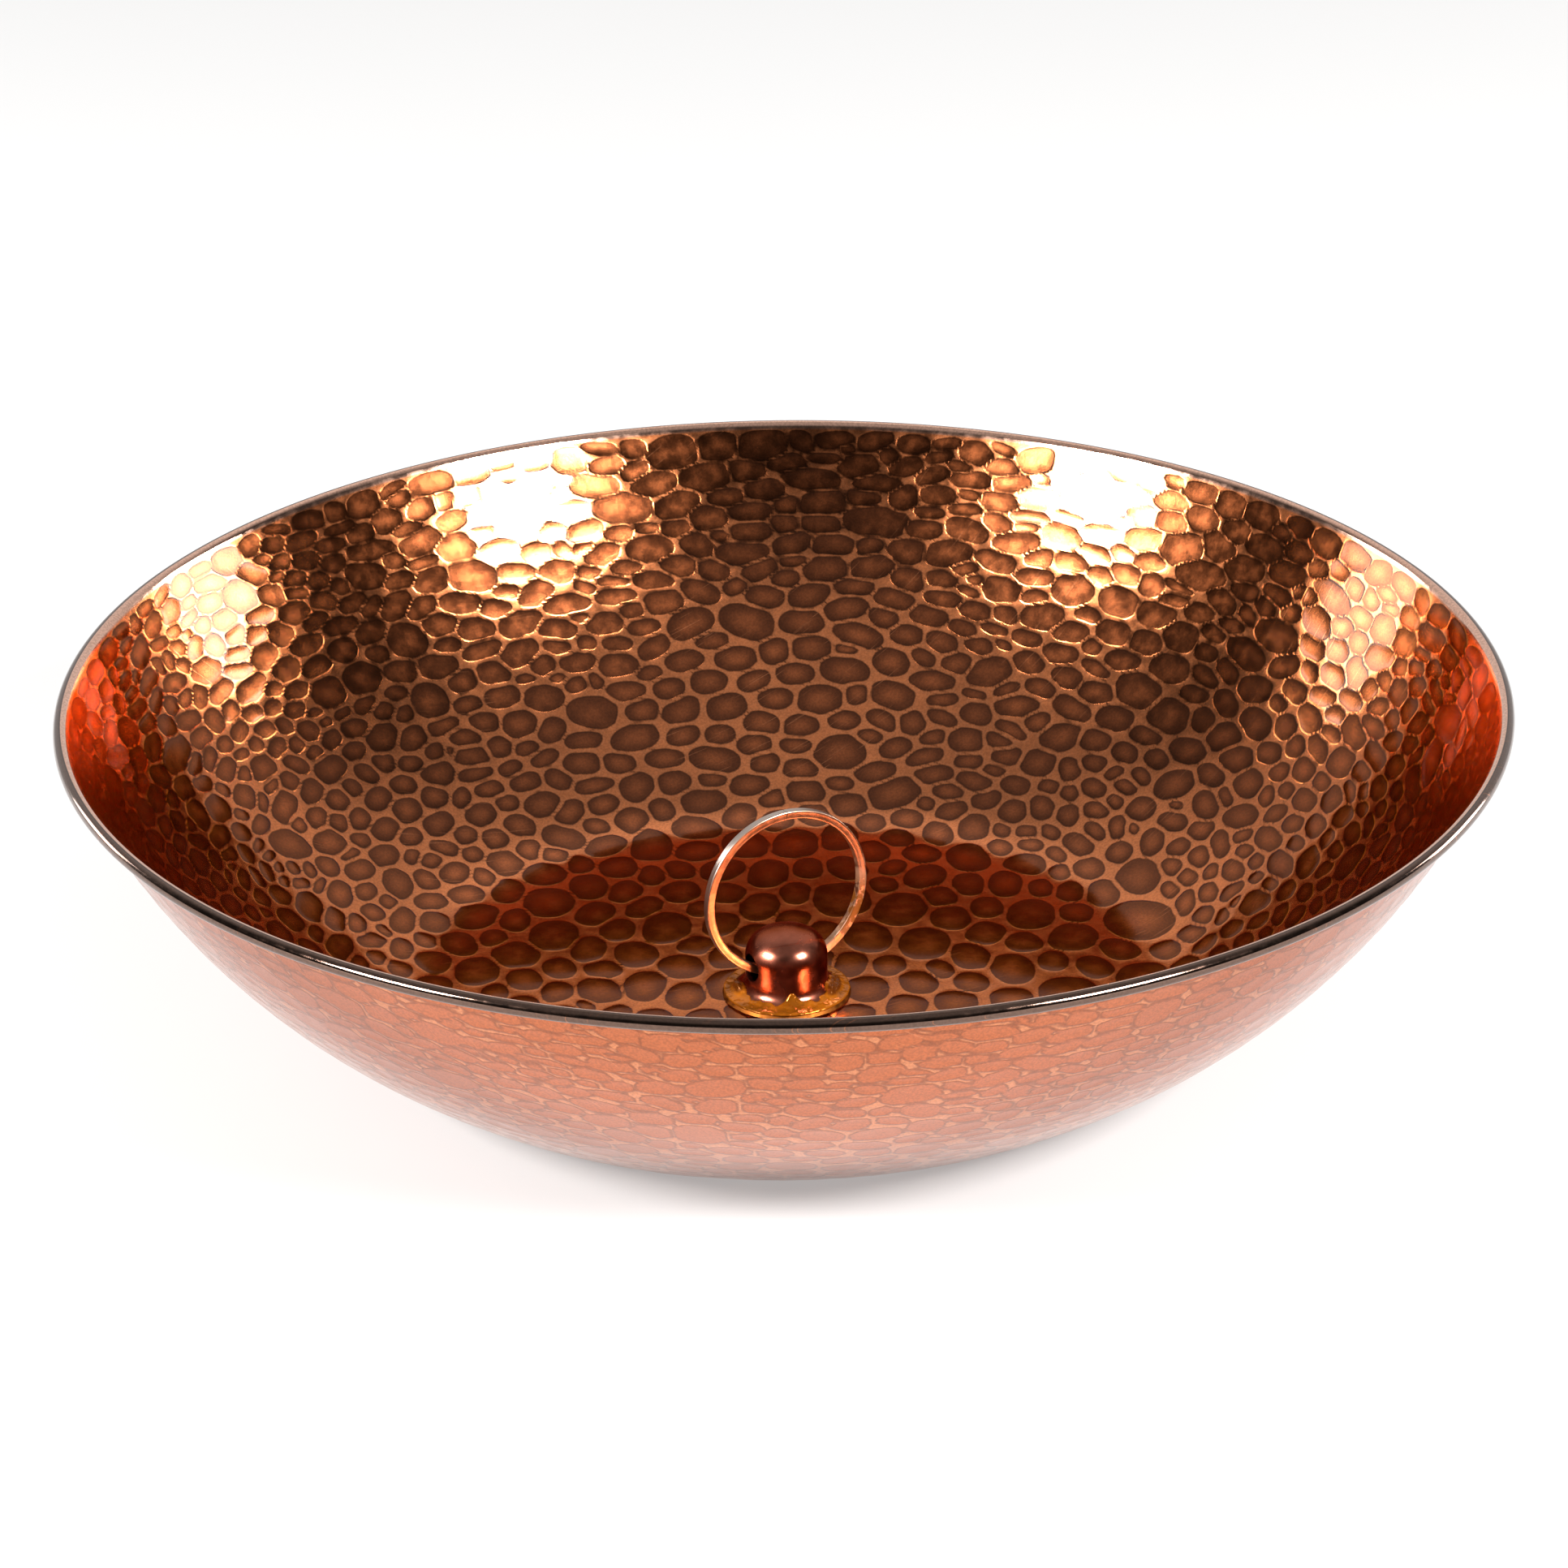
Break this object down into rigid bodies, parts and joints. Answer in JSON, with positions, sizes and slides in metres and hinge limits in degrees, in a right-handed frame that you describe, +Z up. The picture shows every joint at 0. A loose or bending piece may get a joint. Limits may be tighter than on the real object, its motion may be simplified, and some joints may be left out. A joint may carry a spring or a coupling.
{
  "type": "hammered basin with ring anchor",
  "caption": "Wide shallow hammered copper bowl with a wired rim and a hinged ring on a domed cap in the middle of its floor, to anchor a chain.",
  "frame": {"origin": "middle of the underside of the flat floor, on the surface that the bowl stands on", "axes": "+Z up out of the bowl; X along the line through the cap's two holes, so that the standing ring lies in the XZ plane; Y along the standing ring's own axis"},
  "size_m": [0.4, 0.4, 0.0934],
  "materials": {
    "hammered_copper": "hammered copper, dark patina in the marks inside, brighter outside",
    "polished_copper": "polished copper with fine scratches",
    "bar_copper": "drawn copper bar, satin",
    "steel_wire": "galvanised wire",
    "solder": "soft solder",
    "amber_residue": "hardened amber flux"
  },
  "bodies": {
    "basin": {"bowl_shell": "hammered_copper", "rim_wire": "steel_wire", "anchor_cap": "polished_copper", "solder_seam": "solder", "residue_right": "amber_residue", "residue_left": "amber_residue", "residue_front": "amber_residue"},
    "ring": {"swing_ring": "bar_copper"}
  },
  "joints": [
    {"name": "ring_swing", "type": "hinge", "parent": "basin", "child": "ring", "pos_m": [0, 0, 0.0107], "axis": [1, 0, 0], "range_deg": [-99.5, 99.5]}
  ]
}
